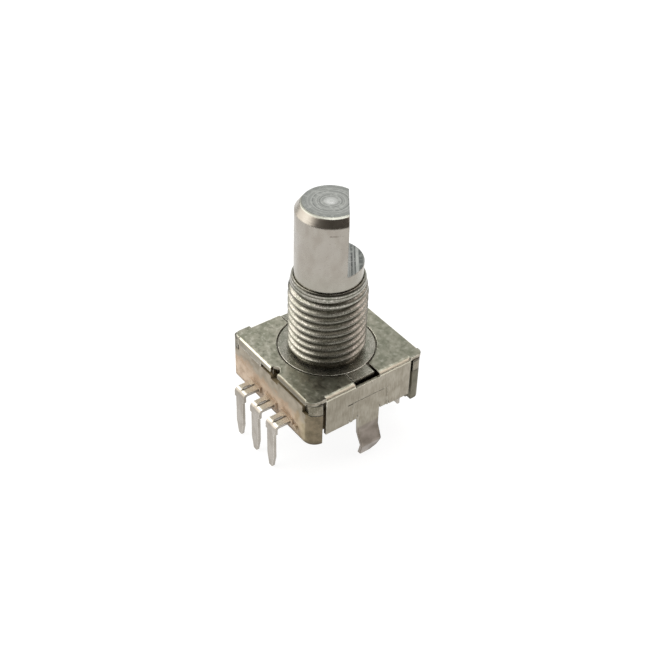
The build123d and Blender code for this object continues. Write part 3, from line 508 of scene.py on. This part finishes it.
def shaft_metal():
    """Turned aluminium: rings on the tip, milling streaks on the step coloured as a painted reflection,
    fine lines, handling marks, and painted highlight and shade on the tip.
    """
    f = Finish("turned_aluminium", (0.44, 0.41, 0.37), 1.0, 0.3)
    f.rounded(SHAFT_ROUND)
    top = f.upward()
    radius = f.from_axis()
    tip = f.steps(f.height(), STEP_TOP - 1, STEP_TOP + 1)
    rings = f.noise(7.0, 3.0, place=f.along(radius))
    streaks = f.noise(2.4, 2.0, place=f.along(f.toward(FLAT_NORMAL)))
    lines = f.noise(9.0, 2.0, (0.05, 0.05, 1.3))
    marks = f.noise(1.1, 4.0, (1, 1, 0.6))
    patches = f.noise(2.6, 4.0)
    side = shaft_side(f, tip, radius, patches, marks)
    end = shaft_ends(f, tip, radius, patches, rings, streaks)
    base = f.mix(top, side, end)
    rough = f.steps(marks, 0.3, 0.7, 0.32, 0.22)
    f.bump(f.blend(top, lines, f.blend(tip, streaks, rings)), 0.014, 0.5)
    f.bump(f.steps(radius, 0.15, 0.55, 1.0, 0.0), 0.04, 1.0)
    f.bump(f.both(tip, f.steps(radius, RIM_INNER, RIM_OUTER)), 0.17, 1.0)
    f.bump(marks, 0.02, 0.25)
    return f.finish(base, rough)


# ---------------------------------------------------------------- terminals
TERMINAL_ROUND = 0.05
TERMINAL_PITCH = 2.5
SLIT_HALF = 0.08


def terminal_metal():
    """Tin-plated brass: smooth, slightly pink, with soft smears, bright cut edges, a painted highlight on
    the level tops, and painted shade in a line along each head.
    """
    f = Finish("tinned_brass", (0.48, 0.44, 0.39), 1.0, 0.28)
    edge_mask = f.rounded(TERMINAL_ROUND)
    smear = f.noise(1.6, 3.0, (1, 1, 0.35))
    speck = f.noise(12.0, 2.0)
    base = f.mottle(smear, rgb(0.335, 0.305, 0.265), rgb(0.415, 0.385, 0.345))
    base = f.mix(f.steps(speck, 0.60, 0.70, 0.0, 0.4), base, rgb(0.32, 0.26, 0.20))
    head = f.upward()
    # painted highlight: the level tops of the heads are much paler
    base = f.mix(head, base, f.mottle(smear, rgb(0.74, 0.69, 0.60), rgb(0.92, 0.89, 0.80)))
    across = f.math("PINGPONG", f.toward(X_WAY), TERMINAL_PITCH / 2)
    # painted shade: a near-black line along the middle of each head
    slit_shade = f.both(head, f.steps(across, SLIT_HALF + 0.06, SLIT_HALF, 0.0, 0.85))
    base = f.mix(slit_shade, base, rgb(0.07, 0.06, 0.045))
    base = f.mix(f.both(edge_mask, 0.8), base, rgb(0.88, 0.84, 0.76))
    rough = f.steps(smear, 0.3, 0.7, 0.36, 0.22)
    f.bump(smear, 0.02, 0.3)
    f.bump(speck, 0.003, 0.5)
    return f.finish(base, rough)


# ---------------------------------------------------------------- moulded base
# heights over the seat and places along Y, in millimetres
RESIN_ROUND = 0.07
RESIN_GLOSS = 0.35
FRONT_WALL = -5.90
REAR_START, REAR_FULL = 4.5, 5.0
TAUPE_BOTTOM, PALE_TOP = -1.9, -2.9
FOOT_TOP, FOOT_BOTTOM = -4.55, -4.85


def resin_front(f, flow, grain):
    """The wall behind the terminals: taupe above, pale pink below, olive towards the right corner."""
    pale = f.mottle(flow, rgb(0.42, 0.30, 0.20), rgb(0.62, 0.49, 0.37))
    pale = f.mix(f.steps(grain, 0.56, 0.70, 0.0, 0.6), pale, rgb(0.78, 0.68, 0.58))
    olive = f.mottle(flow, rgb(0.27, 0.225, 0.125), rgb(0.44, 0.375, 0.24))
    pale = f.mix(f.steps(f.toward(X_WAY), 2.8, 5.4, 0.0, 0.9), pale, olive)
    taupe = f.mottle(flow, rgb(0.25, 0.215, 0.16), rgb(0.38, 0.335, 0.265))
    edge = f.math("ADD", f.height(), f.steps(flow, 0.3, 0.7, -0.5, 0.5))
    return f.mix(f.steps(edge, TAUPE_BOTTOM, PALE_TOP), taupe, pale)


def base_resin():
    """Moulded phenolic: olive brown with paler flow marks, fine grain, edges paler from wear, and painted
    shade at the foot.
    """
    f = Finish("moulded_resin", (0.2, 0.16, 0.1), 0.0, 0.5)
    f.shader.inputs["Specular IOR Level"].default_value = RESIN_GLOSS
    edge_mask = f.rounded(RESIN_ROUND)
    flow = f.noise(1.3, 5.0)
    grain = f.noise(14.0, 3.0)
    base = f.mottle(flow, rgb(0.165, 0.130, 0.070), rgb(0.27, 0.215, 0.13))
    base = f.mix(f.steps(grain, 0.56, 0.70, 0.0, 0.5), base, rgb(0.40, 0.32, 0.22))
    front = f.steps(f.toward(Y_WAY), FRONT_WALL, FRONT_WALL - 0.04)
    base = f.mix(front, base, resin_front(f, flow, grain))
    rear = f.steps(f.toward(Y_WAY), REAR_START, REAR_FULL, 0.0, 0.8)
    base = f.mix(rear, base, f.mottle(flow, rgb(0.17, 0.165, 0.12), rgb(0.225, 0.215, 0.165)))
    base = f.mix(f.both(edge_mask, 0.4), base, rgb(0.50, 0.42, 0.30))
    # painted shade: the foot darkens towards the bottom
    base = f.mix(f.steps(f.height(), FOOT_TOP, FOOT_BOTTOM, 0.0, 0.5), base, rgb(0.06, 0.045, 0.025))
    rough = f.steps(grain, 0.3, 0.7, 0.46, 0.62)
    f.bump(grain, 0.012, 0.7)
    f.bump(flow, 0.03, 0.3)
    return f.finish(base, rough)


# ---------------------------------------------------------------- inner pieces
MOULDED_ROUND = 0.05
ROLLED_ROUND = 0.03
CUT_EDGE_GAIN = 1.2


def moulded(name, dark, pale, roughness):
    """A plain moulded plastic with flow marks and a fine eroded skin."""
    f = Finish(name, pale, 0.0, roughness)
    f.rounded(MOULDED_ROUND)
    flow = f.noise(1.5, 4.0)
    grain = f.noise(18.0, 3.0)
    base = f.mottle(flow, rgb(*dark), rgb(*pale), 0.3, 0.7)
    rough = f.steps(grain, 0.3, 0.7, roughness - 0.08, roughness + 0.08)
    f.bump(grain, 0.008, 0.6)
    return f.finish(base, rough)


def rolled(name, dark, pale, roughness):
    """Rolled strip: long fine lines from the rolls, soft stains and bright cut edges."""
    f = Finish(name, pale, 1.0, roughness)
    edge_mask = f.rounded(ROLLED_ROUND)
    lines = f.noise(12.0, 3.0, (0.06, 1.0, 1.0))
    stain = f.noise(1.8, 4.0)
    cut = rgb(*(min(1.0, CUT_EDGE_GAIN * c) for c in pale))
    base = f.mottle(stain, rgb(*dark), rgb(*pale))
    base = f.mix(f.both(edge_mask, 0.5), base, cut)
    rough = f.steps(lines, 0.3, 0.7, roughness - 0.06, roughness + 0.08)
    f.bump(lines, 0.004, 0.5)
    return f.finish(base, rough)


def dress_nodes():
    """Gives every CAD node the finish that its material slot in the record names."""
    finishes = {
        "frame_steel": frame_steel(),
        "die_cast_zinc": die_cast_zinc(),
        "shaft_metal": shaft_metal(),
        "terminal_metal": terminal_metal(),
        "base_resin": base_resin(),
        "switch_resin": moulded("switch_floor_resin", (0.012, 0.011, 0.010), (0.030, 0.027, 0.024), 0.5),
        "rotor_resin": moulded("rotor_resin_black", (0.010, 0.010, 0.011), (0.026, 0.026, 0.028), 0.45),
        "nylon_white": moulded("nylon_natural", (0.62, 0.60, 0.52), (0.76, 0.74, 0.67), 0.42),
        "spring_steel": rolled("spring_strip", (0.42, 0.42, 0.42), (0.60, 0.60, 0.59), 0.28),
        "contact_bronze": rolled("bronze_strip", (0.48, 0.33, 0.17), (0.72, 0.53, 0.30), 0.26),
    }
    for row in frame["record"]["subparts"]:
        for slot in nodes[row["node"]].material_slots:
            slot.material = finishes[row["material_slot"]]


make_camera()
make_floor()
make_studio()
dress_nodes()
bpy.context.scene.view_settings.view_transform = "Standard"
